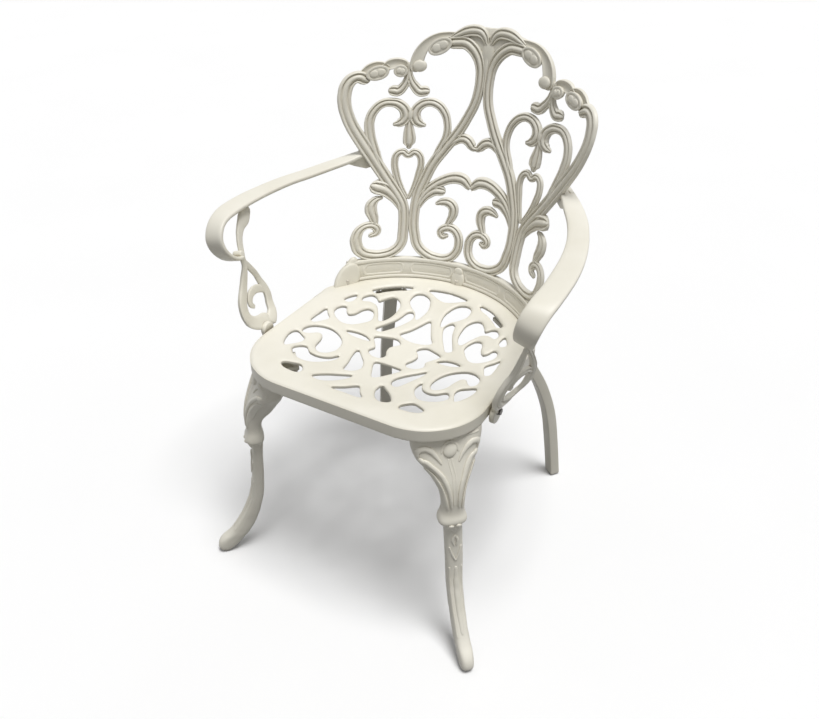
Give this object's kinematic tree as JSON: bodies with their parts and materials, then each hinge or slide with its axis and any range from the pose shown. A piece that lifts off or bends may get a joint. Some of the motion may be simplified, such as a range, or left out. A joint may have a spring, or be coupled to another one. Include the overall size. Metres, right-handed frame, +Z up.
{
  "type": "metal patio armchair",
  "caption": "White powder-coated cast-aluminium garden armchair with a scroll lattice back, dished openwork seat, curled arms and cabriole front legs.",
  "frame": {"origin": "On the floor under the centre of the chair's box.", "axes": "+Z up, -Y the way the sitter faces, +X to the right of someone looking at the chair from its front."},
  "size_m": [0.6006, 0.5813, 0.89],
  "materials": {
    "powder_coat": "cream-white satin powder coat on sand-cast aluminium",
    "nylon": "moulded off-white nylon",
    "dark_steel": "dark zinc-plated steel"
  },
  "bodies": {
    "root": {"seat": "powder_coat", "backrest": "powder_coat", "arm_right": "powder_coat", "arm_left": "powder_coat", "front_leg_right": "powder_coat", "front_leg_left": "powder_coat", "rear_leg_right": "powder_coat", "rear_leg_left": "powder_coat", "front_right_glide": "nylon", "front_left_glide": "nylon", "rear_right_glide": "nylon", "rear_left_glide": "nylon", "back_seat_bolts": "dark_steel", "back_seat_washers": "dark_steel", "front_leg_bolts": "dark_steel", "front_leg_washers": "dark_steel", "rear_leg_bolts": "dark_steel", "rear_leg_washers": "dark_steel", "arm_back_bolts": "dark_steel", "arm_back_washers": "dark_steel", "arm_seat_bolts": "dark_steel", "arm_seat_washers": "dark_steel"}
  },
  "joints": []
}
